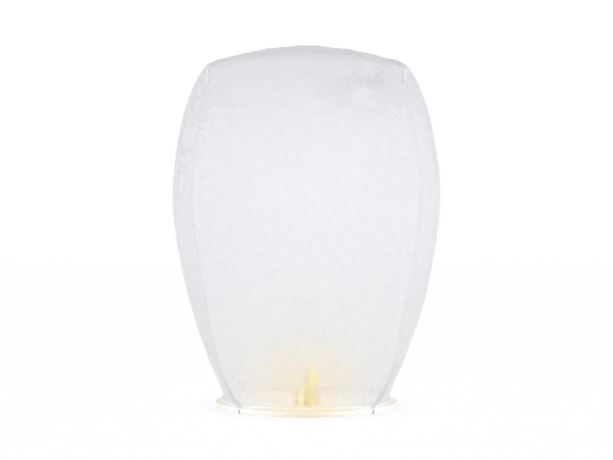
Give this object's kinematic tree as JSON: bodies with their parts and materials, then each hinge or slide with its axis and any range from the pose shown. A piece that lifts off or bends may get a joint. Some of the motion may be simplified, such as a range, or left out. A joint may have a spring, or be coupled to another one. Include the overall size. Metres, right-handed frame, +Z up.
{
  "type": "sky lantern",
  "caption": "Tall paper hot-air lantern: curved paper gores on a bamboo hoop, with crossed wires that hold a waxed fuel block in its mouth. It folds flat.",
  "frame": {"origin": "on the lantern's axis, in the plane of the hem's flat underside, which it stands on", "axes": "+Z up, from the mouth towards the crown; -Y through the middle of the front gore; the seams and the wires' ends lie on the 45 degree diagonals"},
  "size_m": [0.564, 0.564, 0.762],
  "materials": {
    "white_tissue": "thin matt white tissue, slightly translucent, finely creased",
    "patch_tissue": "double matt white tissue",
    "split_bamboo": "split bamboo with long straight fibres, dry and slightly glossy on its skin side",
    "binding_tape": "paper tape",
    "galvanised_wire": "thin galvanised wire, dull grey",
    "tie_wire": "thin annealed wire",
    "waxed_card": "layered absorbent card soaked in wax"
  },
  "bodies": {
    "base": {"bamboo_hoop": "split_bamboo", "hoop_binding": "binding_tape", "cross_wire_a": "galvanised_wire", "cross_wire_b": "galvanised_wire", "fuel_tie_wire": "tie_wire", "gore_front": "white_tissue", "gore_right": "white_tissue", "gore_back": "white_tissue", "gore_left": "white_tissue"},
    "crown": {"crown_patch": "patch_tissue"},
    "fuel": {"fuel_block": "waxed_card"}
  },
  "joints": [
    {"name": "envelope_collapse", "type": "slide", "parent": "base", "child": "crown", "axis": [0, 0, -1], "range_m": [0, 0.675], "deforming": ["gore_front", "gore_right", "gore_back", "gore_left"]},
    {"name": "fuel_cell_lift", "type": "slide", "parent": "base", "child": "fuel", "axis": [0, 0, 1], "range_m": [0, 0.04]}
  ]
}
